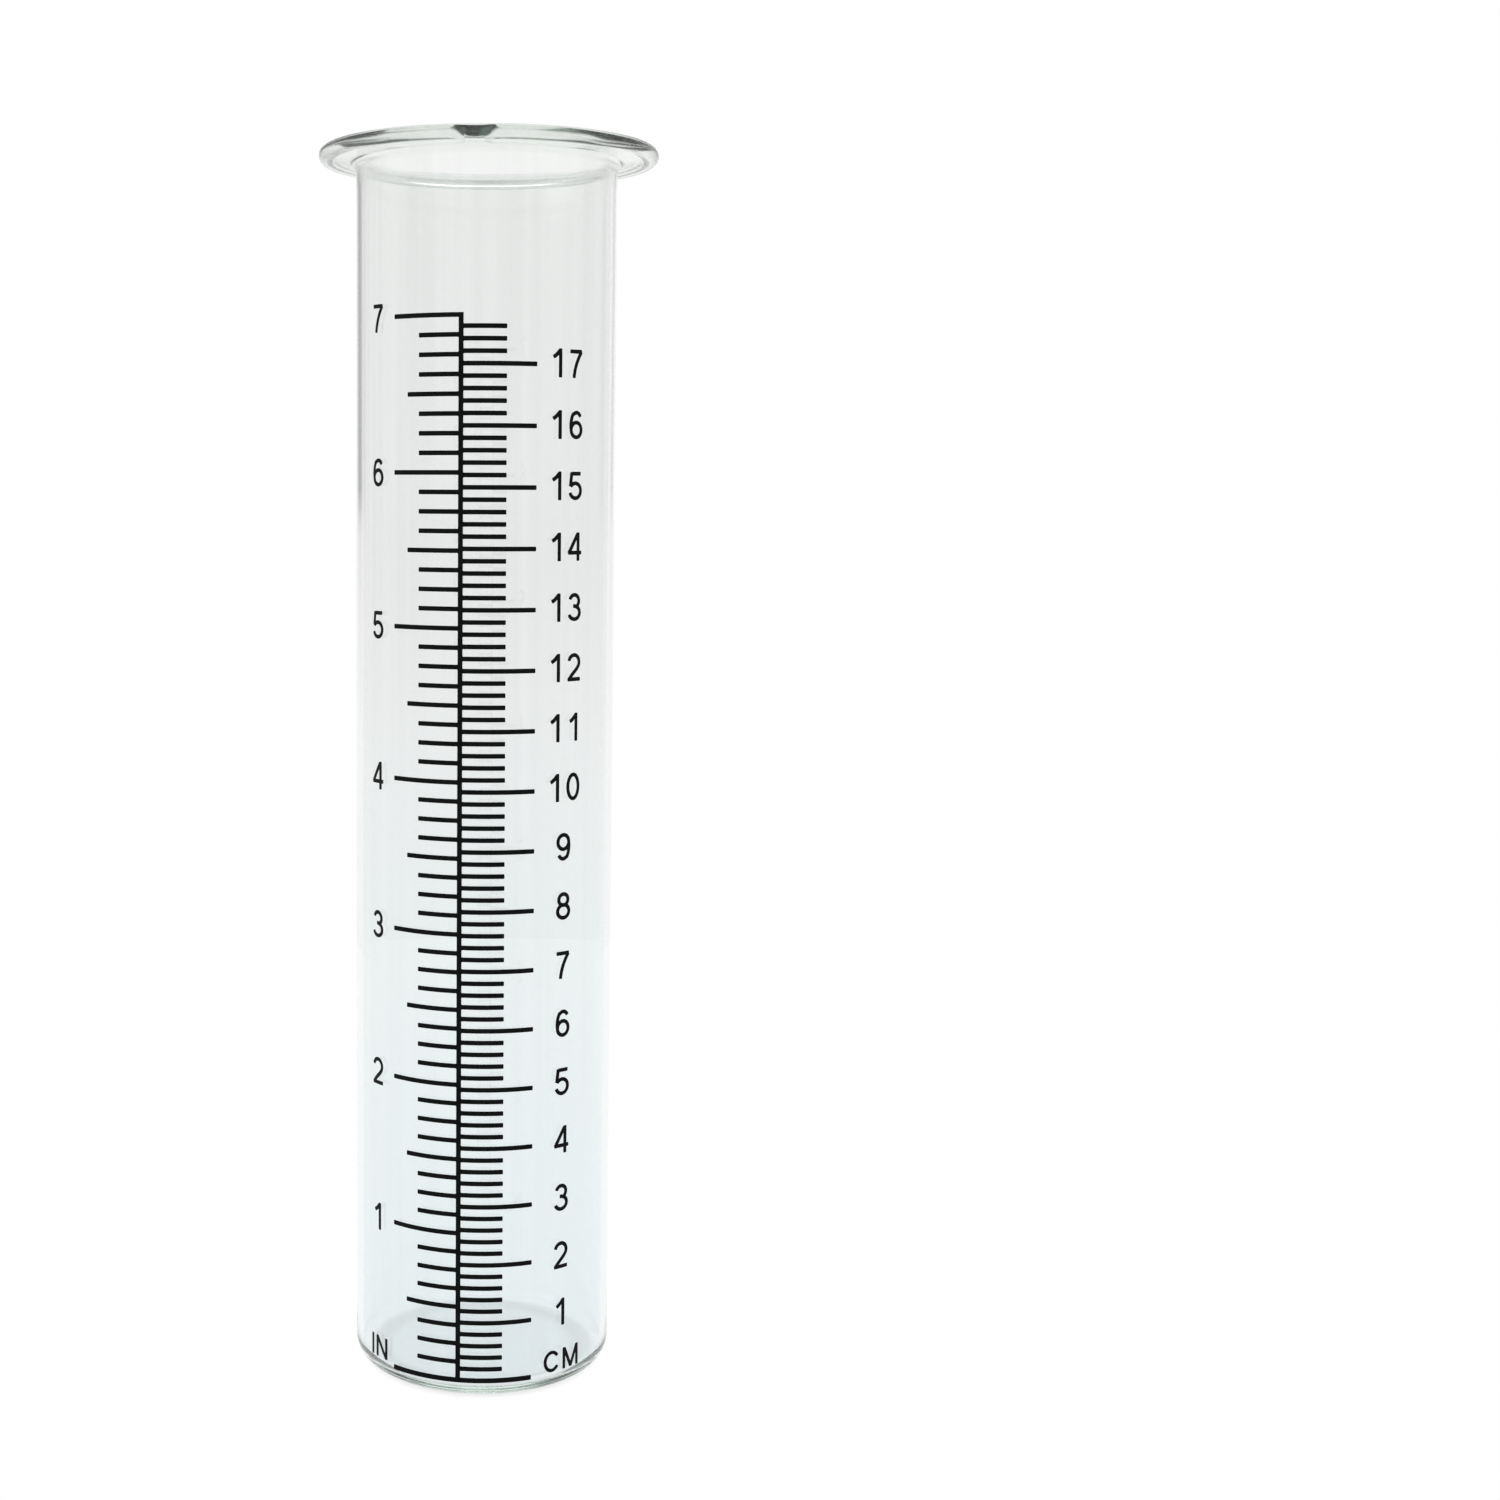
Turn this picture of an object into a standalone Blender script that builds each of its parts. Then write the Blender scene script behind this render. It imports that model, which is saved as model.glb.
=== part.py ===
"""Manual rain gauge: a clear glass tube with a flared rim and a printed inch / centimetre ruler.

Frame: metres, +Z up along the tube's axis, origin at the centre of the underside.
The ruler's upright line lies on the -Y side of the tube.
"""
import math

import bmesh
import bpy
from mathutils import Vector
from mathutils.geometry import interpolate_bezier

MM = 0.001

# ---- driving dimensions of the glass, in millimetres -------------------------------------
HEIGHT = 210.7            # underside of the base to the top of the rim
TUBE_RADIUS = 22.3        # outside of the wall
WALL = 1.1
FLOOR = 2.0               # thickness of the glass under the water
BASE_CORNER = 3.6         # outside radius between wall and underside
FLOOR_CORNER = 2.0        # inside radius between wall and floor
RIM_RADIUS = 29.3
RIM_THICKNESS = 2.5       # at the outer edge, which is a full round
RIM_NECK_THICKNESS = 1.2  # where the rim meets the wall; its underside is flat
RIM_DISH = 0.4            # how far the top face falls from the round edge to the mouth
NECK_FILLET = 1.4         # under the rim, against the wall
MOUTH_CORNER = 1.5        # rim's top face into the bore
TUBE_STEPS = 60
ARC_STEP = math.radians(30.0)

# ---- driving dimensions of the print, in millimetres -------------------------------------
ZERO_HEIGHT = 3.5         # the 0 line, above the underside
INCH = 25.4
INCHES = 7
INCH_PARTS = 8            # marks per inch
CM = 10.0
CM_MARKS = 88             # marks of a fifth of a centimetre, up to 17.6 cm
CM_PARTS = 5
LINE_WIDTH = 0.78
ZERO_LINE_WIDTH = 0.86
SPINE_WIDTH = 0.82
INCH_LENGTHS = {"whole": 12.4, "half": 9.55, "part": 7.35}
CM_LENGTHS = {"whole": 12.6, "part": 7.5}
DIGIT_HEIGHT = 4.72
DIGIT_FIELD = 4.5         # height that the numerals are drawn on
DIGIT_STROKE = 0.66
LETTER_HEIGHT = 3.75
LETTER_STROKE = 0.6
INCH_NUMBER_AT = -16.7    # centres of the numerals, along the wall from the upright line
CM_NUMBER_AT = 18.35
DIGIT_PITCH = 3.9         # between the digits of a two-digit number
CM_NUMBER_RISE = 0.3      # the centimetre numerals sit slightly above their marks
INK_GAP = 0.2             # between the wall's circle and the print's corners
INK_THICKNESS = 0.12
INK_FACET = 5.1           # width of the flats that wrap the print round the wall

INK_COLOR = (0.012, 0.014, 0.014, 1.0)
GLASS_COLOR = (0.86, 0.91, 0.90, 1.0)


# ---- scene and materials ------------------------------------------------------------------
def clear_scene():
    for obj in list(bpy.context.scene.objects):
        bpy.data.objects.remove(obj, do_unlink=True)


def make_material(name, color, roughness, transmission=0.0):
    material = bpy.data.materials.new(name)
    material.use_nodes = True
    shader = material.node_tree.nodes["Principled BSDF"]
    shader.inputs["Base Color"].default_value = color
    shader.inputs["Roughness"].default_value = roughness
    shader.inputs["Metallic"].default_value = 0.0
    shader.inputs["Transmission Weight"].default_value = transmission
    return material


def add_object(name, mesh, material=None):
    obj = bpy.data.objects.new(name, mesh)
    bpy.context.scene.collection.objects.link(obj)
    if material:
        mesh.materials.clear()
        mesh.materials.append(material)
    return obj


def shade(mesh):
    mesh.shade_smooth()
    mesh.set_sharp_from_angle(angle=math.radians(35.0))


# ---- the glass ----------------------------------------------------------------------------
def arc(center_x, center_z, radius_x, radius_z, start, end, step=ARC_STEP):
    """Points of an elliptical arc, angles in degrees, counter-clockwise when end > start."""
    start, end = math.radians(start), math.radians(end)
    count = max(1, math.ceil(abs(end - start) / step))
    angles = [start + (end - start) * i / count for i in range(count + 1)]
    return [(center_x + radius_x * math.cos(a), center_z + radius_z * math.sin(a)) for a in angles]


def tube_profile():
    """Half section from the middle of the floor, up the bore, over the rim and down outside."""
    bore = TUBE_RADIUS - WALL
    edge = RIM_THICKNESS / 2
    underside = HEIGHT - RIM_THICKNESS
    mouth = underside + RIM_NECK_THICKNESS
    meet = 180.0 - math.degrees(math.asin((mouth + RIM_DISH - underside - edge) / edge))
    profile = [(0.0, FLOOR)]
    profile += arc(bore - FLOOR_CORNER, FLOOR + FLOOR_CORNER, FLOOR_CORNER, FLOOR_CORNER, -90, 0)
    profile += arc(bore + MOUTH_CORNER, mouth - MOUTH_CORNER, MOUTH_CORNER, MOUTH_CORNER, 180, 90)
    profile += arc(RIM_RADIUS - edge, HEIGHT - edge, edge, edge, meet, -90)
    profile += arc(TUBE_RADIUS + NECK_FILLET, underside - NECK_FILLET, NECK_FILLET, NECK_FILLET, 90, 180)
    profile += arc(TUBE_RADIUS - BASE_CORNER, BASE_CORNER, BASE_CORNER, BASE_CORNER, 0, -90)
    profile.append((0.0, 0.0))
    return profile


def make_tube(material):
    points = [(r * MM, 0.0, z * MM) for r, z in tube_profile()]
    mesh = bpy.data.meshes.new("glass_tube")
    mesh.from_pydata(points, [(i, i + 1) for i in range(len(points) - 1)], [])
    tube = add_object("glass_tube", mesh)
    screw = tube.modifiers.new("turn", "SCREW")
    screw.angle = math.tau
    screw.steps = TUBE_STEPS
    screw.render_steps = TUBE_STEPS
    screw.use_merge_vertices = True
    screw.merge_threshold = 0.01 * MM
    turned = evaluated_mesh(tube)
    tube.modifiers.clear()
    tube.data = turned
    turned.materials.append(material)
    shade(turned)
    return tube


def evaluated_mesh(obj):
    depsgraph = bpy.context.evaluated_depsgraph_get()
    return bpy.data.meshes.new_from_object(obj.evaluated_get(depsgraph))


# ---- flat strokes of the print ------------------------------------------------------------
def curve(start, handle_1, handle_2, end, count=5):
    """Points of a cubic curve."""
    knots = [Vector((x, z, 0.0)) for x, z in (start, handle_1, handle_2, end)]
    return [(p.x, p.y) for p in interpolate_bezier(*knots, count)]


def outline_of(points, width, closed):
    """Left and right edges of a stroke of constant width along a centre line."""
    count = len(points)
    left, right = [], []
    for i, point in enumerate(points):
        before = points[i - 1] if closed or i > 0 else point
        after = points[(i + 1) % count] if closed or i < count - 1 else point
        incoming = (Vector(point) - Vector(before)).normalized() if before != point else None
        outgoing = (Vector(after) - Vector(point)).normalized() if after != point else None
        incoming = incoming or outgoing
        outgoing = outgoing or incoming
        along = (incoming + outgoing).normalized()
        across = Vector((-along.y, along.x)) * (width / 2 / max(0.5, along.dot(outgoing)))
        left.append(Vector(point) + across)
        right.append(Vector(point) - across)
    return left, right


def stroke_mesh(points, width, closed=False):
    """A closed flat solid along a centre line: x along the wall, y up it, z out of it."""
    left, right = outline_of(points, width * MM, closed)
    bm = bmesh.new()
    levels = (0.0, INK_THICKNESS * MM)
    rings = [[bm.verts.new((p.x, p.y, z)) for p, z in ((a, levels[0]), (b, levels[0]),
              (b, levels[1]), (a, levels[1]))] for a, b in zip(left, right)]
    pairs = list(zip(rings, rings[1:]))
    if closed:
        pairs.append((rings[-1], rings[0]))
    else:
        bm.faces.new(rings[0])
        bm.faces.new(rings[-1])
    for near, far in pairs:
        for k in range(4):
            bm.faces.new((near[k], near[(k + 1) % 4], far[(k + 1) % 4], far[k]))
    face_outwards(bm)
    mesh = bpy.data.meshes.new("stroke")
    bm.to_mesh(mesh)
    bm.free()
    return mesh


def union(meshes):
    """One closed solid from flat solids that overlap."""
    base = add_object("union_base", meshes[0])
    cutters = [add_object("union_part", mesh) for mesh in meshes[1:]]
    for cutter in cutters:
        boolean = base.modifiers.new("join", "BOOLEAN")
        boolean.operation = "UNION"
        boolean.solver = "EXACT"
        boolean.object = cutter
    result = evaluated_mesh(base)
    for obj in [base] + cutters:
        bpy.data.objects.remove(obj, do_unlink=True)
    return result


def face_outwards(bm):
    bmesh.ops.recalc_face_normals(bm, faces=bm.faces)
    if bm.calc_volume(signed=True) < 0.0:
        bmesh.ops.reverse_faces(bm, faces=bm.faces)


def scaled(points):
    return [(x * MM, z * MM) for x, z in points]


# ---- numerals and letters, each as strokes on a (width x height) field in millimetres -----
def glyph_strokes(character):
    """Centre lines of one character, as (points, closed), for a digit on DIGIT_FIELD or a letter."""
    low = DIGIT_STROKE / 2
    top = DIGIT_FIELD - low
    mid = DIGIT_FIELD / 2
    cap = LETTER_HEIGHT
    strokes = {
        "0": [(arc(0.0, mid, 1.18, top - mid, 0, 330), True)],
        "1": [([(0.55, 0.0), (0.55, DIGIT_FIELD)], False),
              (curve((0.42, 4.2), (0.1, 3.75), (-0.3, 3.4), (-0.85, 3.15), 3), False)],
        "2": [(arc(0.0, 3.02, 1.17, top - 3.02, 168, -28)
               + curve((0.93, 2.35), (0.45, 1.65), (-0.75, 1.05), (-1.12, 0.2), 5), False),
              ([(-1.42, low), (1.42, low)], False)],
        "3": [(arc(-0.02, 3.2, 1.02, top - 3.2, 165, -75), False),
              (arc(-0.02, 1.35, 1.2, 1.35 - low, 82, -165), False),
              ([(-0.3, 2.4), (0.24, 2.4)], False)],
        "4": [([(0.72, 0.0), (0.72, DIGIT_FIELD)], False),
              ([(-1.52, 1.3), (1.5, 1.3)], False),
              ([(-1.38, 1.2), (0.62, 4.3)], False)],
        "5": [([(-0.85, top), (1.2, top)], False),
              ([(-0.82, 4.4), (-1.12, 2.15)], False),
              (arc(-0.02, 1.5, 1.22, 1.5 - low, 148, -165), False)],
        "6": [(arc(0.08, 1.48, 1.14, 1.48 - low, 0, 330), True),
              (arc(0.12, 3.05, 1.0, top - 3.05, 25, 105)
               + curve((-0.5, 4.05), (-1.05, 3.55), (-1.2, 2.3), (-1.06, 1.5), 4), False)],
        "7": [([(-1.35, top - 0.05), (1.3, top - 0.05)], False),
              (curve((1.2, 4.1), (0.4, 3.1), (-0.35, 1.7), (-0.5, 0.0), 5), False)],
        "8": [(arc(0.0, 3.27, 0.97, top - 3.27, 0, 330), True),
              (arc(0.0, 1.38, 1.2, 1.38 - low, 0, 330), True)],
        "I": [([(0.0, 0.0), (0.0, cap)], False)],
        "N": [([(-1.25, 0.0), (-1.25, cap)], False), ([(1.25, 0.0), (1.25, cap)], False),
              ([(-1.22, cap - 0.12), (1.22, 0.12)], False)],
        "C": [(arc(0.02, cap / 2, 1.33, cap / 2 - LETTER_STROKE / 2, 32, 328), False)],
        "M": [([(-1.52, 0.0), (-1.52, cap)], False), ([(1.52, 0.0), (1.52, cap)], False),
              ([(-1.46, cap - 0.1), (0.03, 0.1)], False), ([(-0.03, 0.1), (1.46, cap - 0.1)], False)],
    }
    if character == "9":
        return [([(-x, DIGIT_FIELD - z) for x, z in points], closed) for points, closed in strokes["6"]]
    return strokes[character]


def glyph_mesh(character):
    width, stretch = LETTER_STROKE, 1.0
    if not character.isalpha():
        width, stretch = DIGIT_STROKE, DIGIT_HEIGHT / DIGIT_FIELD
    return union([stroke_mesh(scaled([(x, z * stretch) for x, z in points]), width, closed)
                  for points, closed in glyph_strokes(character)])


# ---- the ruler's lines --------------------------------------------------------------------
def ruler_marks():
    """(height, length along the wall, line width) of every mark: left is negative."""
    marks = []
    for k in range(INCHES * INCH_PARTS + 1):
        kind = "whole" if k % INCH_PARTS == 0 else "half" if k % (INCH_PARTS // 2) == 0 else "part"
        marks.append((k * INCH / INCH_PARTS, -INCH_LENGTHS[kind]))
    for k in range(CM_MARKS + 1):
        kind = "whole" if k % CM_PARTS == 0 else "part"
        marks.append((k * CM / CM_PARTS, CM_LENGTHS[kind]))
    return [(height, length, ZERO_LINE_WIDTH if height == 0 else LINE_WIDTH) for height, length in marks]


def ruler_mesh():
    """The upright line, as short flat cells between the edges of the marks, with the marks on it."""
    marks = ruler_marks()
    half = SPINE_WIDTH / 2
    breaks = sorted({round(h + side * w / 2, 4) for h, _, w in marks for side in (-1, 1)})
    bm = bmesh.new()
    verts = {}

    def vert(x, z):
        key = (round(x, 4), round(z, 4))
        if key not in verts:
            verts[key] = bm.verts.new((x * MM, z * MM, 0.0))
        return verts[key]

    for low, high in zip(breaks, breaks[1:]):
        bm.faces.new([vert(-half, low), vert(half, low), vert(half, high), vert(-half, high)])
    for height, length, width in marks:
        add_mark(bm, vert, breaks, height, length, width)
    thicken(bm)
    mesh = bpy.data.meshes.new("ruler")
    bm.to_mesh(mesh)
    bm.free()
    return mesh


def add_mark(bm, vert, breaks, height, length, width):
    """One mark as flat cells, whose first edge follows the upright line's own points."""
    side = math.copysign(1.0, length)
    low, high = round(height - width / 2, 4), round(height + width / 2, 4)
    columns = [SPINE_WIDTH / 2] + [c for c in facet_lines(0.0, abs(length))] + [abs(length)]
    inner = [vert(side * columns[0], b) for b in breaks if low <= b <= high]
    for outer_x in columns[1:]:
        outer = [vert(side * outer_x, low), vert(side * outer_x, high)]
        bm.faces.new(inner + outer[::-1])
        inner = outer


def thicken(bm):
    """Give a flat sheet of faces the thickness of the print."""
    sheet = bm.faces[:]
    result = bmesh.ops.extrude_face_region(bm, geom=sheet, use_keep_orig=True)
    raised = [item for item in result["geom"] if isinstance(item, bmesh.types.BMVert)]
    bmesh.ops.translate(bm, vec=(0.0, 0.0, INK_THICKNESS * MM), verts=raised)
    face_outwards(bm)


# ---- laying the print on the wall ---------------------------------------------------------
def facet_lines(low, high):
    """Where a fold between two flats falls strictly between low and high."""
    first = math.floor(low / INK_FACET - 0.5)
    last = math.ceil(high / INK_FACET)
    lines = [(k + 0.5) * INK_FACET for k in range(first, last + 1)]
    return [x for x in lines if low + 0.01 < x < high - 0.01]


def wrap(mesh, name, material, offset_x, offset_z):
    """Shift a flat solid to its place on the ruler, fold it at the facet lines and lay it on the wall."""
    bm = bmesh.new()
    bm.from_mesh(mesh)
    bmesh.ops.translate(bm, vec=(offset_x * MM, offset_z * MM, 0.0), verts=bm.verts)
    low = min(v.co.x for v in bm.verts) / MM
    high = max(v.co.x for v in bm.verts) / MM
    for line in facet_lines(low, high):
        bmesh.ops.bisect_plane(bm, geom=bm.verts[:] + bm.edges[:] + bm.faces[:], dist=1e-7,
                               plane_co=(line * MM, 0.0, 0.0), plane_no=(1.0, 0.0, 0.0))
    bmesh.ops.dissolve_degenerate(bm, edges=bm.edges, dist=0.002 * MM)
    bmesh.ops.triangulate(bm, faces=bm.faces, ngon_method="BEAUTY")
    for v in bm.verts:
        angle = v.co.x / (TUBE_RADIUS * MM) - math.pi / 2
        radius = (TUBE_RADIUS + INK_GAP) * MM + v.co.z
        v.co = (radius * math.cos(angle), radius * math.sin(angle), ZERO_HEIGHT * MM + v.co.y)
    face_outwards(bm)
    wrapped = bpy.data.meshes.new(name)
    bm.to_mesh(wrapped)
    bm.free()
    shade(wrapped)
    return add_object(name, wrapped, material)


def make_print(material):
    wrap(ruler_mesh(), "print_ruler_lines", material, 0.0, 0.0)
    glyphs = {character: glyph_mesh(character) for character in "0123456789INCM"}
    drop = DIGIT_HEIGHT / 2
    for number in range(1, INCHES + 1):
        wrap(glyphs[str(number)], f"print_inch_{number}", material, INCH_NUMBER_AT, number * INCH - drop)
    for number in range(1, int(CM_MARKS / CM_PARTS) + 1):
        height = number * CM - drop + CM_NUMBER_RISE
        tens, units = divmod(number, 10)
        if tens:
            left = CM_NUMBER_AT - DIGIT_PITCH / 2
            wrap(glyphs[str(tens)], f"print_cm_{number}_tens", material, left, height)
            wrap(glyphs[str(units)], f"print_cm_{number}_units", material, left + DIGIT_PITCH, height)
        else:
            wrap(glyphs[str(units)], f"print_cm_{number}", material, CM_NUMBER_AT, height)
    letters = (("IN", "I", -18.25, 0.52), ("IN", "N", -15.6, 0.52), ("CM", "C", 16.6, 0.1),
               ("CM", "M", 20.75, 0.1))
    for unit, letter, at, height in letters:
        wrap(glyphs[letter], f"print_unit_{unit}_{letter}", material, at, height)


def main():
    clear_scene()
    make_tube(make_material("clear_glass", GLASS_COLOR, 0.03, transmission=1.0))
    make_print(make_material("black_enamel", INK_COLOR, 0.35))


main()
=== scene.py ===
"""Manual rain gauge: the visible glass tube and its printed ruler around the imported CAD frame."""
import math

import bmesh
import bpy
from mathutils import Matrix, Vector
from mathutils.geometry import interpolate_bezier


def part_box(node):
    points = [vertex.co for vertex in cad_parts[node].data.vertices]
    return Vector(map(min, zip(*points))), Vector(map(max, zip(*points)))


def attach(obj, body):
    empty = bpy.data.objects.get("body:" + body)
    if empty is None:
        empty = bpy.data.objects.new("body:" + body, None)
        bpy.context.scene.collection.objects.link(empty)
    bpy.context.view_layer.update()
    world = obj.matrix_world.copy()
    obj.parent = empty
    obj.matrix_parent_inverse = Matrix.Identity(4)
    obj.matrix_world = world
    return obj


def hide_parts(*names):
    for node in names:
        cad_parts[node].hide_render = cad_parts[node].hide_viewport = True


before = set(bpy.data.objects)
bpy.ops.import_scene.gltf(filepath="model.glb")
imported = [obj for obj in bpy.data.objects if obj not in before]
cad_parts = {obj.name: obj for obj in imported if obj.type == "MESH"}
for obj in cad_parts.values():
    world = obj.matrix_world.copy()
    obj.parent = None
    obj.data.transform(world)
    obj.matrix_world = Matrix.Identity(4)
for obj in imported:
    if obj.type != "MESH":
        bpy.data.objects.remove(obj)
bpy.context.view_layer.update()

MM = 0.001
BODY = "root"

# ---- sizes read from the frame -------------------------------------------------------------
GLASS_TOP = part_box("glass_tube")[1][2]
RULER_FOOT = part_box("print_ruler_lines")[0][2]
HEIGHT = GLASS_TOP / MM

# ---- glass, in millimetres -----------------------------------------------------------------
TUBE_RADIUS = 22.3        # outside of the wall
WALL = 1.1
FLOOR = 2.0               # thickness of the glass under the water
BASE_CORNER = 3.6         # outside radius between wall and underside
FLOOR_CORNER = 2.0        # inside radius between wall and floor
RIM_RADIUS = 28.95
RIM_SHIFT = 0.33          # a hand-turned rim sits a little off the tube's axis, towards +X
RIM_THICKNESS = 2.5       # at the outer edge, which is a full round
# The next three are pairs: where the turned rim is well dished, and where it stayed flat.
RIM_TOP = (1.6, 2.2)      # top face beside the round edge, above the rim's flat underside
RIM_DISH = (0.4, 0.1)     # fall of the top face from there to the mouth
MOUTH_CORNER = (1.5, 2.5)  # radius between the top face and the bore
# Where the rim stayed flat: degrees round the axis from +X, half width, and how flat from 0 to 1.
FLAT_SPOTS = ((-130.0, 10.0, 0.2), (-84.0, 6.0, 1.0), (-52.0, 9.0, 0.10), (-23.0, 17.0, 0.62))
NECK_FILLET = 1.4         # under the rim, against the wall
FACE_RINGS = (4.0, 8.0, 12.0, 15.5)  # radii of the rings of faces on the floor and the underside
UNDERSIDE_RING = 26.3     # one more ring on the rim's flat underside
TUBE_STEPS = 360          # columns of faces round the tube
BEAD_ROWS = 36            # rows of faces round the rim's edge, the same in every column
WALL_ROWS = 68            # rows of faces up the wall, inside and outside
PROFILE_STEP = math.radians(7.5)  # step of the arcs in the glass's section
SHARP_EDGE = math.radians(40.0)  # edges sharper than this are shaded as corners

# ---- print, in millimetres -----------------------------------------------------------------
ZERO_LINE_WIDTH = 0.86
ZERO_HEIGHT = RULER_FOOT / MM + ZERO_LINE_WIDTH / 2
INCH = 25.4
INCHES = 7
INCH_PARTS = 8
CM = 10.0
CM_MARKS = 88             # the centimetre side ends at 17.6 cm
CM_PARTS = 5
LINE_WIDTH = 0.78
SPINE_WIDTH = 0.82
INCH_LENGTHS = {"whole": 12.4, "half": 9.55, "part": 7.35}
CM_LENGTHS = {"whole": 12.6, "part": 7.5}
DIGIT_HEIGHT = 4.72
DIGIT_FIELD = 4.5         # height that the numerals are drawn on
DIGIT_STROKE = 0.66
LETTER_HEIGHT = 3.75
LETTER_STROKE = 0.60
INCH_NUMBER_AT = -16.7
CM_NUMBER_AT = 18.35
DIGIT_PITCH = 3.9
CM_NUMBER_RISE = 0.3
# Each letter of the two units, with its middle from the upright line and its foot above the zero line.
UNIT_LETTERS = {"IN": (("I", -18.25, 0.52), ("N", -15.6, 0.52)), "CM": (("C", 16.6, 0.1), ("M", 20.75, 0.1))}
INK_CORNER = 0.13         # rounding of the corners of a printed line
INK_CORNER_STEPS = 3
INK_JOINT = 0.10          # ink that fills the corner between a mark and the upright line
INK_BEND = 0.35 * INK_JOINT  # how far the filled corner still stands off both lines in its middle
END_STEP = math.radians(30.0)  # step of the arcs at the end of a mark
INK_SINK = 0.012          # the fired print is bedded this deep in the glass
INK_HEIGHT = 0.035        # and stands this far proud of it
INK_FACET = 0.55          # width of the flat strips that follow the wall's curve
GLYPH_DEGREES = 9.0       # step of the numerals' arcs
GLYPH_STEP = math.radians(GLYPH_DEGREES)

# ---- stage and view, in metres and radians (lens and sensor in millimetres) ----------------
FLOOR_RADIUS = 0.32
FLOOR_PLACE = (0.0, 0.03, -0.0002)
LIGHT_BOUNCES = 256       # light runs far along the inside of a glass wall
VIEW_AZIMUTH = math.radians(10.45)
VIEW_DISTANCE = 0.36785
VIEW_HEIGHT = 0.1498 + ZERO_HEIGHT * MM
VIEW_PITCH = 0.0867
VIEW_ROLL = 0.0043
LENS = 50.873
SENSOR = 36.0
SHIFT = (0.17688, -0.05143)


# ---- node helpers --------------------------------------------------------------------------
def node(tree, kind, **settings):
    made = tree.nodes.new(kind)
    for key, value in settings.items():
        setattr(made, key, value)
    return made


def link(tree, source, target):
    tree.links.new(source, target)


def ramp(tree, factor, stops):
    made = node(tree, "ShaderNodeValToRGB")
    elements = made.color_ramp.elements
    while len(elements) < len(stops):
        elements.new(0.5)
    for element, (position, color) in zip(elements, stops):
        element.position = position
        element.color = color if len(color) == 4 else (*color, 1.0)
    link(tree, factor, made.inputs["Fac"])
    return made.outputs["Color"]


def grey(value):
    return (value, value, value, 1.0)


def mapped(tree, scale):
    """Object coordinates, stretched by a scale in each direction."""
    coordinates = node(tree, "ShaderNodeTexCoord")
    mapping = node(tree, "ShaderNodeMapping")
    mapping.inputs["Scale"].default_value = scale
    link(tree, coordinates.outputs["Object"], mapping.inputs["Vector"])
    return mapping.outputs["Vector"]


def noise_texture(tree, vector, scale, detail=3.0, roughness=0.5):
    made = node(tree, "ShaderNodeTexNoise")
    made.inputs["Scale"].default_value = scale
    made.inputs["Detail"].default_value = detail
    made.inputs["Roughness"].default_value = roughness
    link(tree, vector, made.inputs["Vector"])
    return made.outputs["Fac"]


def math_node(tree, operation, first, second):
    made = node(tree, "ShaderNodeMath", operation=operation)
    for socket, value in zip(made.inputs, (first, second)):
        if isinstance(value, (int, float)):
            socket.default_value = value
        else:
            link(tree, value, socket)
    return made.outputs["Value"]


def multiplied(tree, first, second, amount):
    """One colour darkened by another, fully or by an amount from 0 to 1."""
    made = node(tree, "ShaderNodeMix", data_type="RGBA", blend_type="MULTIPLY")
    if isinstance(amount, float):
        made.inputs["Factor"].default_value = amount
    else:
        link(tree, amount, made.inputs["Factor"])
    link(tree, first, made.inputs["A"])
    link(tree, second, made.inputs["B"])
    return made.outputs["Result"]


def mixed(tree, factor, first, second):
    """One colour where the factor is 0, and the other where it is 1."""
    made = node(tree, "ShaderNodeMix", data_type="RGBA")
    link(tree, factor, made.inputs["Factor"])
    link(tree, first, made.inputs["A"])
    made.inputs["B"].default_value = second
    return made.outputs["Result"]


def new_material(name):
    material = bpy.data.materials.new(name)
    material.use_nodes = True
    return material, material.node_tree, material.node_tree.nodes["Principled BSDF"]


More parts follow.
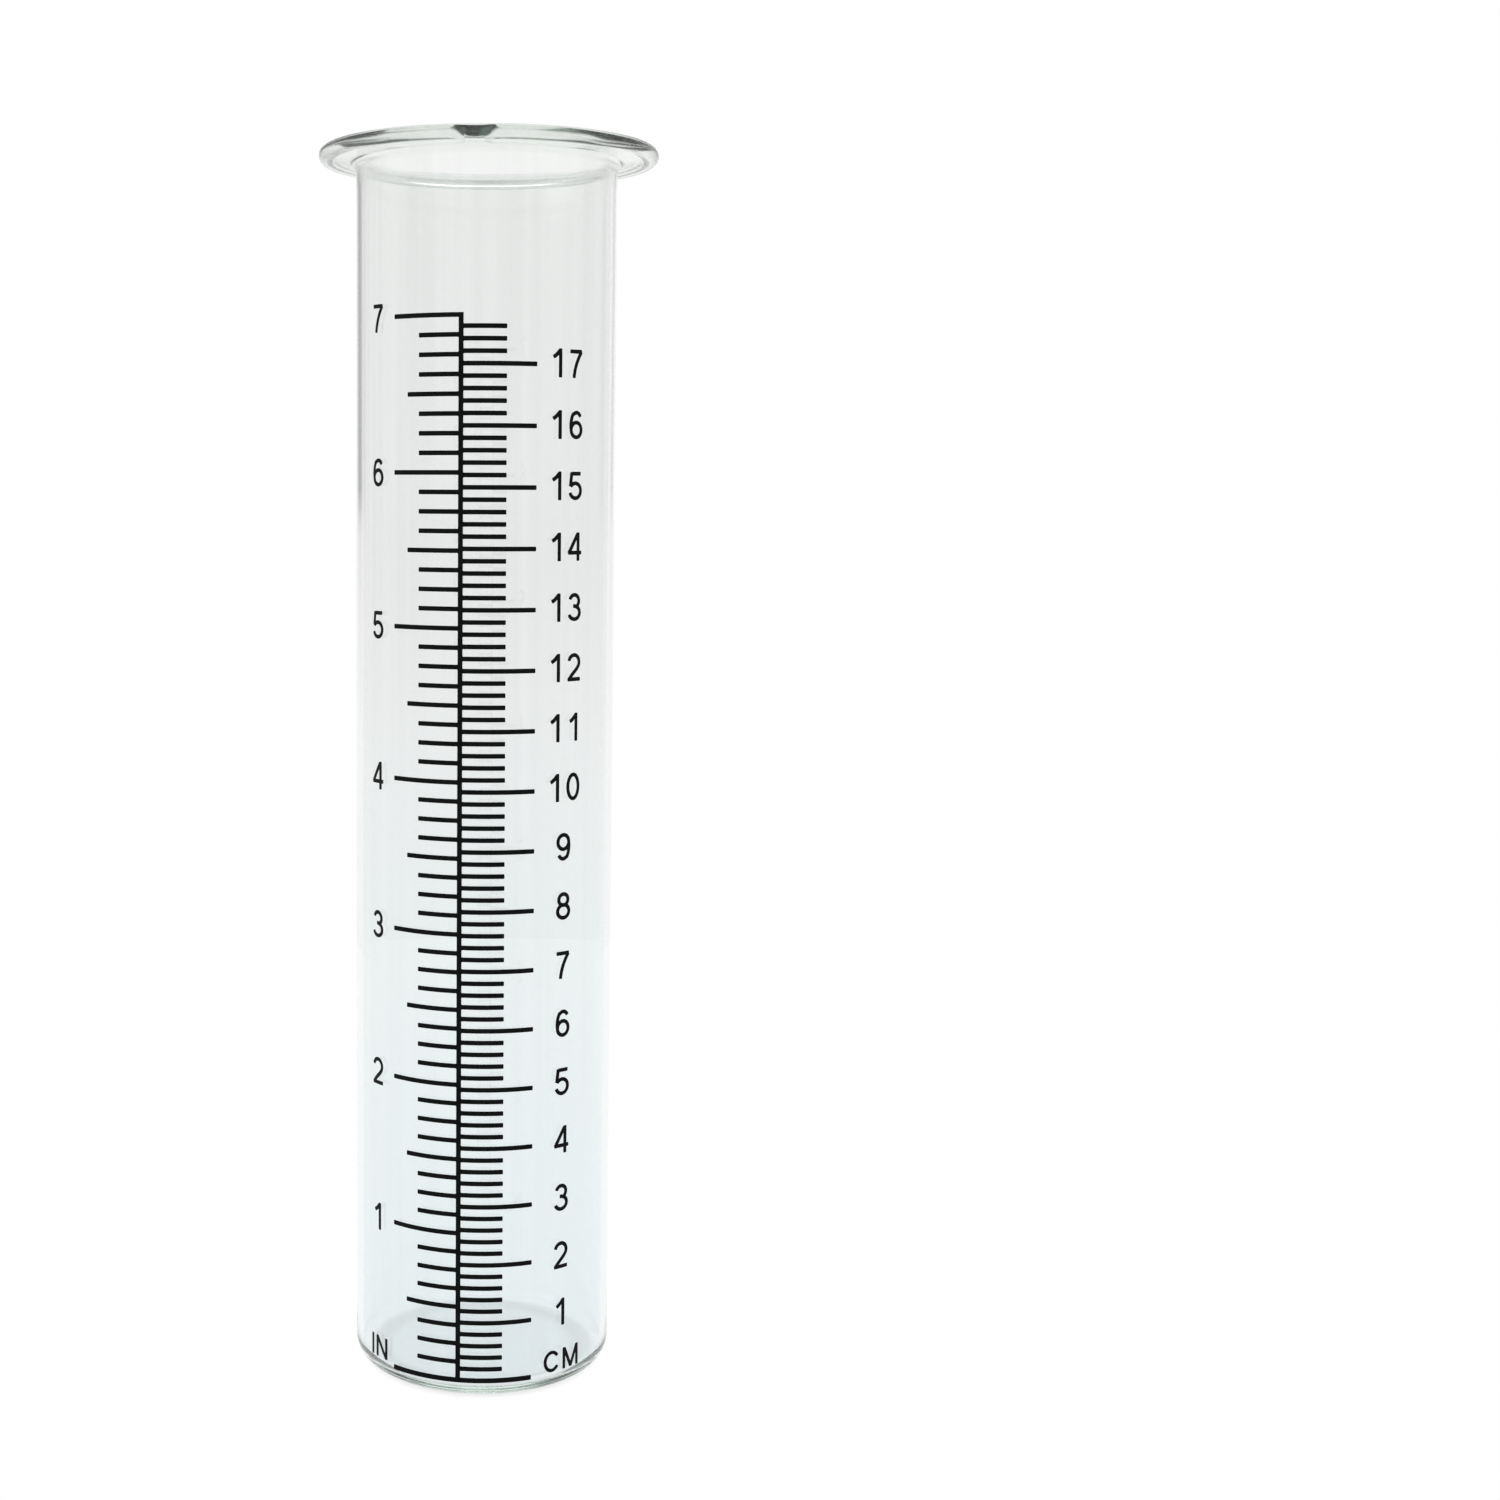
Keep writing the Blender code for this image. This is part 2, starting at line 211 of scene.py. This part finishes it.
# ---- materials -----------------------------------------------------------------------------
def glass_material():
    """Clear drawn glass: faint upright draw lines, faint smears, green thick edges, and painted reflections:
    a bluer foot, a greener rim and upright streaks up top.
    """
    material, tree, shader = new_material("clear_drawn_glass")
    shader.inputs["IOR"].default_value = 1.47
    shader.inputs["Transmission Weight"].default_value = 1.0

    lines = noise_texture(tree, mapped(tree, (1.0, 1.0, 0.02)), 420.0, 4.0)
    swell = noise_texture(tree, mapped(tree, (1.0, 1.0, 0.35)), 60.0, 2.0)
    smears = noise_texture(tree, mapped(tree, (1.0, 1.0, 0.6)), 75.0, 5.0, 0.6)

    coordinates = node(tree, "ShaderNodeTexCoord")
    split = node(tree, "ShaderNodeSeparateXYZ")
    link(tree, coordinates.outputs["Object"], split.inputs["Vector"])
    up = math_node(tree, "DIVIDE", split.outputs["Z"], HEIGHT * MM)
    # Painted reflection of the surroundings in the base colour: bluer towards the foot, greyer up the tube,
    # greener at the rim.
    painted_reflection_tint = ramp(tree, up, [(0.0, (0.898, 0.938, 0.948)), (0.35, (0.925, 0.950, 0.952)),
                           (0.50, (0.933, 0.946, 0.945)), (0.68, (0.918, 0.925, 0.922)),
                           (0.970, (0.917, 0.924, 0.918)), (0.986, (0.914, 0.938, 0.911))])
    painted_reflection_tint = multiplied(tree, painted_reflection_tint, ramp(tree, lines, [(0.30, grey(0.975)), (0.62, grey(1.0))]), 1.0)
    # Painted reflection: faint light and dark upright streaks, faded in over the upper half of the tube.
    painted_streaks = noise_texture(tree, mapped(tree, (1.0, 1.0, 0.012)), 190.0, 3.0, 0.6)
    painted_streak_tone = ramp(tree, painted_streaks, [(0.36, grey(0.945)), (0.48, grey(0.985)), (0.60, grey(1.0))])
    painted_reflection_tint = multiplied(tree, painted_reflection_tint, painted_streak_tone, ramp(tree, up, [(0.45, grey(0.10)), (0.85, grey(1.0))]))
    link(tree, painted_reflection_tint, shader.inputs["Base Color"])

    rough = ramp(tree, smears, [(0.45, grey(0.004)), (0.75, grey(0.035))])
    rim = ramp(tree, up, [(0.962, grey(0.0)), (0.980, grey(0.12))])
    link(tree, math_node(tree, "ADD", rough, rim), shader.inputs["Roughness"])

    height = math_node(tree, "ADD", math_node(tree, "MULTIPLY", lines, 0.25), swell)
    bump = node(tree, "ShaderNodeBump")
    bump.inputs["Strength"].default_value = 0.06
    bump.inputs["Distance"].default_value = 0.10 * MM
    link(tree, height, bump.inputs["Height"])
    link(tree, bump.outputs["Normal"], shader.inputs["Normal"])

    absorb = node(tree, "ShaderNodeVolumeAbsorption")
    absorb.inputs["Color"].default_value = (0.50, 0.64, 0.55, 1.0)
    absorb.inputs["Density"].default_value = 7.5
    link(tree, absorb.outputs["Volume"], tree.nodes["Material Output"].inputs["Volume"])
    return material


def enamel_material():
    """Fired black enamel: slightly uneven gloss, a fine grain and pinholes that catch the light."""
    material, tree, shader = new_material("black_fired_enamel")
    shader.inputs["IOR"].default_value = 1.5
    shader.inputs["Specular IOR Level"].default_value = 0.06
    grain = noise_texture(tree, mapped(tree, (1.0, 1.0, 1.0)), 2600.0, 4.0, 0.6)
    cloud = noise_texture(tree, mapped(tree, (1.0, 1.0, 1.0)), 240.0, 3.0)
    color = ramp(tree, cloud, [(0.35, (0.0014, 0.0018, 0.0018)), (0.70, (0.0036, 0.0044, 0.0044))])
    link(tree, color, shader.inputs["Base Color"])
    link(tree, ramp(tree, grain, [(0.3, grey(0.30)), (0.7, grey(0.48))]), shader.inputs["Roughness"])
    bump = node(tree, "ShaderNodeBump")
    bump.inputs["Strength"].default_value = 0.25
    bump.inputs["Distance"].default_value = 0.012 * MM
    link(tree, grain, bump.inputs["Height"])
    link(tree, bump.outputs["Normal"], shader.inputs["Normal"])
    return material


# ---- meshes --------------------------------------------------------------------------------
def add_piece(name, mesh, material, nodes):
    mesh.materials.clear()
    mesh.materials.append(material)
    mesh.shade_smooth()
    mesh.set_sharp_from_angle(angle=SHARP_EDGE)
    piece = bpy.data.objects.new(name, mesh)
    bpy.context.scene.collection.objects.link(piece)
    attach(piece, BODY)
    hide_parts(*nodes)


def mesh_from(bm, name):
    mesh = bpy.data.meshes.new(name)
    bm.to_mesh(mesh)
    bm.free()
    return mesh


def arc(center_x, center_z, radius_x, radius_z, start, end, step=PROFILE_STEP):
    """Points of an arc of a circle or an ellipse, from one angle in degrees to another."""
    start, end = math.radians(start), math.radians(end)
    count = max(1, math.ceil(abs(end - start) / step))
    angles = [start + (end - start) * i / count for i in range(count + 1)]
    return [(center_x + radius_x * math.cos(a), center_z + radius_z * math.sin(a)) for a in angles]


def rows_between(radius, low, high):
    """Evenly spaced points up (or down) a straight wall, without its two ends."""
    return [(radius, low + (high - low) * i / WALL_ROWS) for i in range(1, WALL_ROWS)]


def between(pair, amount):
    return pair[0] + (pair[1] - pair[0]) * amount


def flatness(angle):
    """How flat the rim's top face is at an angle round the axis: 0 is well dished, 1 is flat."""
    amount = 0.0
    for middle, half_width, depth in FLAT_SPOTS:
        away = (math.degrees(angle) - middle + 180.0) % 360.0 - 180.0
        amount += depth * math.exp(-abs(away / half_width) ** 3)
    return min(1.0, amount)


def tube_profile(angle):
    """Half section from the middle of the floor, up the bore, over the rim and down outside."""
    flat = flatness(angle)
    dish = between(RIM_DISH, flat)
    top = between(RIM_TOP, flat)
    corner = between(MOUTH_CORNER, flat)
    bore = TUBE_RADIUS - WALL
    bead = RIM_THICKNESS / 2
    underside = HEIGHT - RIM_THICKNESS
    mouth = underside + top - dish
    meet = 180.0 - math.degrees(math.asin((top - bead) / bead))
    profile = [(r, FLOOR) for r in (0.0, *FACE_RINGS)]
    profile += arc(bore - FLOOR_CORNER, FLOOR + FLOOR_CORNER, FLOOR_CORNER, FLOOR_CORNER, -90, 0)
    profile += rows_between(bore, FLOOR + FLOOR_CORNER, mouth - corner)
    profile += arc(bore + corner, mouth - corner, corner, corner, 180, 90)
    profile += arc(RIM_RADIUS - bead, HEIGHT - bead, bead, bead, meet, -90,
                   math.radians(meet + 90.0) / (BEAD_ROWS - 0.5))
    profile += [(UNDERSIDE_RING, underside)]
    profile += arc(TUBE_RADIUS + NECK_FILLET, underside - NECK_FILLET, NECK_FILLET, NECK_FILLET, 90, 180)
    profile += rows_between(TUBE_RADIUS, underside - NECK_FILLET, BASE_CORNER)
    profile += arc(TUBE_RADIUS - BASE_CORNER, BASE_CORNER, BASE_CORNER, BASE_CORNER, 0, -90)
    profile += [(r, 0.0) for r in (*FACE_RINGS[::-1], 0.0)]
    return profile


def glass_point(radius, z, angle):
    """A point of the glass, with the rim moved a little to one side of the axis."""
    out = max(0.0, min(1.0, (radius - TUBE_RADIUS) / (RIM_RADIUS - TUBE_RADIUS)))
    aside = RIM_SHIFT * out * out * (3.0 - 2.0 * out)
    return ((radius * math.cos(angle) + aside) * MM, radius * math.sin(angle) * MM, z * MM)


def glass_mesh():
    """The turned glass, column by column, with one vertex in the middle of each face."""
    bm = bmesh.new()
    angles = [math.tau * i / TUBE_STEPS for i in range(TUBE_STEPS)]
    columns = [tube_profile(angle) for angle in angles]
    rings = []
    for row in zip(*columns):
        if row[0][0] == 0.0:
            rings.append([bm.verts.new((0.0, 0.0, row[0][1] * MM))])
        else:
            rings.append([bm.verts.new(glass_point(r, z, a)) for (r, z), a in zip(row, angles)])
    for near, far in zip(rings, rings[1:]):
        for i in range(TUBE_STEPS):
            j = (i + 1) % TUBE_STEPS
            if len(near) == 1:
                bm.faces.new((near[0], far[i], far[j]))
            elif len(far) == 1:
                bm.faces.new((near[i], far[0], near[j]))
            else:
                bm.faces.new((near[i], far[i], far[j], near[j]))
    outwards(bm)
    return mesh_from(bm, "glass")


def outwards(bm):
    """Turn every face so that it points out of the solid."""
    bmesh.ops.recalc_face_normals(bm, faces=bm.faces)
    if bm.calc_volume(signed=True) < 0.0:
        bmesh.ops.reverse_faces(bm, faces=bm.faces)


# ---- printed shapes: outlines in a flat plane, x along the wall and y up it -----------------
def curve(start, handle_1, handle_2, end, count=16):
    knots = [Vector((x, z, 0.0)) for x, z in (start, handle_1, handle_2, end)]
    return [(p.x, p.y) for p in interpolate_bezier(*knots, count)]


def edges_of(points, width, closed):
    """Left and right edges of a stroke of constant width along a centre line."""
    count = len(points)
    left, right = [], []
    for i, point in enumerate(points):
        here = Vector(point)
        steps = []
        if closed or i > 0:
            steps.append((here - Vector(points[i - 1])).normalized())
        if closed or i < count - 1:
            steps.append((Vector(points[(i + 1) % count]) - here).normalized())
        along = sum(steps, Vector((0.0, 0.0))).normalized()
        across = Vector((-along.y, along.x)) * (width / 2 / max(0.5, along.dot(steps[-1])))
        left.append(here + across)
        right.append(here - across)
    return left, right


def rounded_end(corner_1, corner_2, inward):
    """Points of a stroke's end with both corners rounded, from corner_1 to corner_2."""
    across = (corner_2 - corner_1).normalized()
    points = []
    for corner, side, turn in ((corner_1, across, 0), (corner_2, -across, 1)):
        middle = corner + side * INK_CORNER + inward * INK_CORNER
        for i in range(INK_CORNER_STEPS + 1):
            amount = i / INK_CORNER_STEPS
            angle = math.radians(90.0) * (amount if turn == 0 else 1.0 - amount)
            aside = side * INK_CORNER * math.cos(angle)
            points.append(middle - aside - inward * INK_CORNER * math.sin(angle))
    return points


def plate(outline, height):
    """A closed flat solid from one outline."""
    bm = bmesh.new()
    low = [bm.verts.new((p.x * MM, p.y * MM, 0.0)) for p in outline]
    high = [bm.verts.new((p.x * MM, p.y * MM, height * MM)) for p in outline]
    bm.faces.new(low)
    bm.faces.new(high)
    for i in range(len(outline)):
        bm.faces.new((low[i - 1], low[i], high[i], high[i - 1]))
    outwards(bm)
    return mesh_from(bm, "plate")


def ring_plate(left, right, height):
    """A closed flat solid between two loops."""
    bm = bmesh.new()
    rings = []
    for a, b in zip(left, right):
        corners = ((a, 0), (b, 0), (b, height), (a, height))
        rings.append([bm.verts.new((p.x * MM, p.y * MM, z * MM)) for p, z in corners])
    for near, far in zip(rings, rings[1:] + rings[:1]):
        for k in range(4):
            bm.faces.new((near[k], near[(k + 1) % 4], far[(k + 1) % 4], far[k]))
    outwards(bm)
    return mesh_from(bm, "ring")


def stroke(points, width, closed=False):
    thickness = INK_SINK + INK_HEIGHT
    left, right = edges_of(points, width, closed)
    if closed:
        return ring_plate(left, right, thickness)
    start_in = (Vector(points[1]) - Vector(points[0])).normalized()
    end_in = (Vector(points[-2]) - Vector(points[-1])).normalized()
    outline = left[1:-1] + rounded_end(left[-1], right[-1], end_in)
    outline += right[-2:0:-1] + rounded_end(right[0], left[0], start_in)
    return plate(outline, thickness)


def union(meshes):
    base = bpy.data.objects.new("union_base", meshes[0])
    parts = [bpy.data.objects.new("union_part", mesh) for mesh in meshes[1:]]
    for obj in [base] + parts:
        bpy.context.scene.collection.objects.link(obj)
    for part in parts:
        boolean = base.modifiers.new("join", "BOOLEAN")
        boolean.operation = "UNION"
        boolean.solver = "EXACT"
        boolean.object = part
    depsgraph = bpy.context.evaluated_depsgraph_get()
    result = bpy.data.meshes.new_from_object(base.evaluated_get(depsgraph))
    for obj in [base] + parts:
        bpy.data.objects.remove(obj, do_unlink=True)
    return result


def glyph_strokes(character):
    """Centre lines of one character, as (points, closed), in millimetres from its foot's middle."""
    low = DIGIT_STROKE / 2
    top = DIGIT_FIELD - low
    mid = DIGIT_FIELD / 2
    cap = LETTER_HEIGHT
    step = GLYPH_STEP
    loop = 360 - GLYPH_DEGREES  # a closed arc's last point lies one step before its first
    strokes = {
        "0": [(arc(0.0, mid, 1.18, top - mid, 0, loop, step), True)],
        "1": [([(0.55, 0.0), (0.55, DIGIT_FIELD)], False),
              (curve((0.42, 4.2), (0.1, 3.75), (-0.3, 3.4), (-0.85, 3.15), 8), False)],
        "2": [(arc(0.0, 3.02, 1.17, top - 3.02, 168, -28, step)
               + curve((0.93, 2.35), (0.45, 1.65), (-0.75, 1.05), (-1.12, 0.2), 12)[1:], False),
              ([(-1.42, low), (1.42, low)], False)],
        "3": [(arc(-0.02, 3.2, 1.02, top - 3.2, 165, -75, step), False),
              (arc(-0.02, 1.35, 1.2, 1.35 - low, 82, -165, step), False),
              ([(-0.3, 2.4), (0.24, 2.4)], False)],
        "4": [([(0.72, 0.0), (0.72, DIGIT_FIELD)], False),
              ([(-1.52, 1.3), (1.5, 1.3)], False),
              ([(-1.38, 1.2), (0.62, 4.3)], False)],
        "5": [([(-0.85, top), (1.2, top)], False),
              ([(-0.82, 4.4), (-1.12, 2.15)], False),
              (arc(-0.02, 1.5, 1.22, 1.5 - low, 148, -165, step), False)],
        "6": [(arc(0.08, 1.48, 1.14, 1.48 - low, 0, loop, step), True),
              (arc(0.12, 3.05, 1.0, top - 3.05, 25, 105, step)
               + curve((-0.5, 4.05), (-1.05, 3.55), (-1.2, 2.3), (-1.06, 1.5), 10)[1:], False)],
        "7": [([(-1.35, top - 0.05), (1.3, top - 0.05)], False),
              (curve((1.2, 4.1), (0.4, 3.1), (-0.35, 1.7), (-0.5, 0.0), 12), False)],
        "8": [(arc(0.0, 3.27, 0.97, top - 3.27, 0, loop, step), True),
              (arc(0.0, 1.38, 1.2, 1.38 - low, 0, loop, step), True)],
        "I": [([(0.0, 0.0), (0.0, cap)], False)],
        "N": [([(-1.25, 0.0), (-1.25, cap)], False), ([(1.25, 0.0), (1.25, cap)], False),
              ([(-1.22, cap - 0.12), (1.22, 0.12)], False)],
        "C": [(arc(0.02, cap / 2, 1.33, cap / 2 - LETTER_STROKE / 2, 32, 328, step), False)],
        "M": [([(-1.52, 0.0), (-1.52, cap)], False), ([(1.52, 0.0), (1.52, cap)], False),
              ([(-1.46, cap - 0.1), (0.03, 0.1)], False), ([(-0.03, 0.1), (1.46, cap - 0.1)], False)],
    }
    if character == "9":
        return [([(-x, DIGIT_FIELD - z) for x, z in points], closed) for points, closed in strokes["6"]]
    return strokes[character]


def glyph_mesh(character):
    width, stretch = LETTER_STROKE, 1.0
    if not character.isalpha():
        width, stretch = DIGIT_STROKE, DIGIT_HEIGHT / DIGIT_FIELD
    return union([stroke([(x, z * stretch) for x, z in points], width, closed)
                  for points, closed in glyph_strokes(character)])


def side_marks(side):
    """(height, length, line width) of the marks on one side of the upright line, bottom to top."""
    if side < 0:
        count, pitch, parts, lengths = INCHES * INCH_PARTS, INCH / INCH_PARTS, INCH_PARTS, INCH_LENGTHS
    else:
        count, pitch, parts, lengths = CM_MARKS, CM / CM_PARTS, CM_PARTS, CM_LENGTHS
    marks = []
    for k in range(count + 1):
        kind = "part"
        if k % parts == 0:
            kind = "whole"
        elif side < 0 and k % (parts // 2) == 0:
            kind = "half"
        marks.append((k * pitch, lengths[kind], ZERO_LINE_WIDTH if k == 0 else LINE_WIDTH))
    return marks


def side_outline(side):
    """The edge of one side of the ruler from bottom to top: out along each mark and back."""
    half = SPINE_WIDTH / 2
    points = []
    for height, length, width in side_marks(side):
        low, high = height - width / 2, height + width / 2
        if height > 0:
            points += [(half, low - INK_JOINT), (half + INK_BEND, low - INK_BEND), (half + INK_JOINT, low)]
        points += arc(length - INK_CORNER, low + INK_CORNER, INK_CORNER, INK_CORNER, -90, 0, END_STEP)
        points += arc(length - INK_CORNER, high - INK_CORNER, INK_CORNER, INK_CORNER, 0, 90, END_STEP)
        points += [(half + INK_JOINT, high), (half + INK_BEND, high + INK_BEND), (half, high + INK_JOINT)]
    return [Vector((side * x, z)) for x, z in points]


def ruler_mesh():
    """Both sides and the upright line as one outline; the top inch mark runs across the upright line."""
    right = side_outline(1)
    top = Vector((SPINE_WIDTH / 2, INCHES * INCH + LINE_WIDTH / 2))
    left = side_outline(-1)[:-3]
    return plate(right + [top] + left[::-1], INK_SINK + INK_HEIGHT)


def wrap(mesh, offset_x, offset_z):
    """A copy of a flat solid, shifted to its place on the ruler and laid on the wall."""
    bm = bmesh.new()
    bm.from_mesh(mesh)
    bmesh.ops.translate(bm, vec=(offset_x * MM, offset_z * MM, 0.0), verts=bm.verts)
    low = min(v.co.x for v in bm.verts) / MM
    high = max(v.co.x for v in bm.verts) / MM
    first = math.ceil(low / INK_FACET - 0.5)
    last = math.floor(high / INK_FACET - 0.5)
    for k in range(first, last + 1):
        bmesh.ops.bisect_plane(bm, geom=bm.verts[:] + bm.edges[:] + bm.faces[:], dist=1e-8,
                               plane_co=((k + 0.5) * INK_FACET * MM, 0.0, 0.0), plane_no=(1.0, 0.0, 0.0))
    bmesh.ops.triangulate(bm, faces=bm.faces, ngon_method="BEAUTY")
    for v in bm.verts:
        angle = v.co.x / (TUBE_RADIUS * MM) - math.pi / 2
        radius = (TUBE_RADIUS - INK_SINK) * MM + v.co.z
        v.co = (radius * math.cos(angle), radius * math.sin(angle), ZERO_HEIGHT * MM + v.co.y)
    outwards(bm)
    return mesh_from(bm, "print")


def joined(meshes):
    bm = bmesh.new()
    for mesh in meshes:
        bm.from_mesh(mesh)
    return mesh_from(bm, "print")


def add_print(material):
    add_piece("ruler_lines", wrap(ruler_mesh(), 0.0, 0.0), material, ["print_ruler_lines"])
    glyphs = {character: glyph_mesh(character) for character in "0123456789INCM"}
    drop = DIGIT_HEIGHT / 2
    for number in range(1, INCHES + 1):
        mesh = wrap(glyphs[str(number)], INCH_NUMBER_AT, number * INCH - drop)
        add_piece(f"inch_{number}", mesh, material, [f"print_inch_{number}"])
    for number in range(1, int(CM_MARKS / CM_PARTS) + 1):
        height = number * CM - drop + CM_NUMBER_RISE
        tens, units = divmod(number, 10)
        if tens:
            left = CM_NUMBER_AT - DIGIT_PITCH / 2
            mesh = joined([wrap(glyphs[str(tens)], left, height),
                           wrap(glyphs[str(units)], left + DIGIT_PITCH, height)])
            nodes = [f"print_cm_{number}_tens", f"print_cm_{number}_units"]
        else:
            mesh = wrap(glyphs[str(units)], CM_NUMBER_AT, height)
            nodes = [f"print_cm_{number}"]
        add_piece(f"cm_{number}", mesh, material, nodes)
    for unit, letters in UNIT_LETTERS.items():
        mesh = joined([wrap(glyphs[letter], at, height) for letter, at, height in letters])
        nodes = [f"print_unit_{unit}_{letter}" for letter, _, _ in letters]
        add_piece(f"unit_{unit}", mesh, material, nodes)


# ---- stage, light and camera ---------------------------------------------------------------
def add_floor():
    """A pale disc, evenly bright but for a painted soft shadow under the glass and round its foot."""
    bm = bmesh.new()
    bmesh.ops.create_circle(bm, cap_ends=True, segments=96, radius=FLOOR_RADIUS)
    floor = bpy.data.objects.new("pale_floor", mesh_from(bm, "pale_floor"))
    bpy.context.scene.collection.objects.link(floor)
    floor.location = FLOOR_PLACE
    material, tree, shader = new_material("pale_floor")
    coordinates = node(tree, "ShaderNodeTexCoord")
    offset = node(tree, "ShaderNodeMapping")
    offset.inputs["Location"].default_value = floor.location
    link(tree, coordinates.outputs["Object"], offset.inputs["Vector"])
    length = node(tree, "ShaderNodeVectorMath", operation="LENGTH")
    link(tree, offset.outputs["Vector"], length.inputs[0])
    foot = (TUBE_RADIUS - BASE_CORNER) * MM
    reach = math_node(tree, "DIVIDE", length.outputs["Value"], 2.0 * foot)
    # Painted shadow in the floor's glow: a little dimmer under the glass, darkest in a ring round its foot.
    glow_with_painted_shade = ramp(tree, reach, [(0.0, grey(0.91)), (0.415, grey(0.90)), (0.47, grey(0.78)),
                              (0.515, grey(0.82)), (0.56, grey(0.985))])
    shader.inputs["Base Color"].default_value = grey(0.02)
    shader.inputs["Roughness"].default_value = 1.0
    shader.inputs["Specular IOR Level"].default_value = 0.0
    link(tree, glow_with_painted_shade, shader.inputs["Emission Color"])
    shader.inputs["Emission Strength"].default_value = 1.0
    floor.data.materials.append(material)


def add_softbox(name, position, target, size, power):
    light = bpy.data.lights.new(name, "AREA")
    light.shape = "RECTANGLE"
    light.size, light.size_y = size
    light.energy = power
    lamp = bpy.data.objects.new(name, light)
    bpy.context.scene.collection.objects.link(lamp)
    lamp.location = position
    lamp.rotation_euler = (Vector(target) - Vector(position)).to_track_quat("-Z", "Y").to_euler()
    lamp.visible_camera = False


def add_world():
    """A white room with a wide and a narrow dark stretch of wall, which the glass's edges show."""
    world = bpy.data.worlds.new("studio")
    bpy.context.scene.world = world
    world.use_nodes = True
    tree = world.node_tree
    background = tree.nodes["Background"]
    background.inputs["Strength"].default_value = 1.0

    coordinates = node(tree, "ShaderNodeTexCoord")
    split = node(tree, "ShaderNodeSeparateXYZ")
    link(tree, coordinates.outputs["Generated"], split.inputs["Vector"])
    around = math_node(tree, "ARCTAN2", split.outputs["X"], split.outputs["Y"])
    turn = math_node(tree, "ADD", math_node(tree, "DIVIDE", around, math.tau), 0.5)
    level = math_node(tree, "ADD", math_node(tree, "MULTIPLY", split.outputs["Z"], 0.5), 0.5)

    walls = ramp(tree, turn, [(0.0, grey(0.93)), (0.375, grey(0.93)), (0.385, grey(0.42)),
                              (0.412, grey(0.42)), (0.430, grey(1.0)), (0.532, grey(1.0)),
                              (0.535, grey(0.35)), (0.541, grey(0.35)), (0.545, grey(1.0)),
                              (0.60, grey(0.95)), (1.0, grey(0.93))])
    below_horizon = ramp(tree, level, [(0.44, grey(1.0)), (0.49, grey(0.72)), (0.50, grey(0.0))])
    walls = mixed(tree, below_horizon, walls, grey(0.97))
    ceiling = ramp(tree, level, [(0.0, grey(1.0)), (0.60, grey(1.0)), (0.75, grey(0.92)), (1.0, grey(0.92))])
    room = multiplied(tree, walls, ceiling, 1.0)

    path = node(tree, "ShaderNodeLightPath")
    seen = mixed(tree, path.outputs["Is Camera Ray"], room, grey(1.0))
    link(tree, seen, background.inputs["Color"])


def add_lights():
    middle = (0.0, 0.0, 0.12)
    add_softbox("softbox_left", (-0.75, -0.35, 0.65), middle, (0.6, 0.7), 1.0)
    add_softbox("softbox_top", (0.0, 0.2, 0.95), middle, (0.7, 0.35), 1.0)


def add_camera():
    camera = bpy.data.cameras.new("camera")
    camera.sensor_width = SENSOR
    camera.lens = LENS
    camera.shift_x, camera.shift_y = SHIFT
    camera.clip_start = 0.01
    rig = bpy.data.objects.new("camera", camera)
    bpy.context.scene.collection.objects.link(rig)
    turn = Matrix.Rotation(VIEW_AZIMUTH, 4, "Z")
    place = turn @ Matrix.Translation((0.0, -VIEW_DISTANCE, VIEW_HEIGHT))
    aim = Matrix.Rotation(math.pi / 2 - VIEW_PITCH, 4, "X") @ Matrix.Rotation(VIEW_ROLL, 4, "Z")
    rig.matrix_world = place @ aim
    bpy.context.scene.camera = rig


def main():
    scene = bpy.context.scene
    scene.view_settings.view_transform = "Standard"
    scene.cycles.max_bounces = LIGHT_BOUNCES
    scene.cycles.transmission_bounces = LIGHT_BOUNCES
    scene.cycles.glossy_bounces = LIGHT_BOUNCES
    add_camera()
    add_world()
    add_floor()
    add_lights()
    add_piece("glass_body", glass_mesh(), glass_material(), ["glass_tube"])
    add_print(enamel_material())


main()
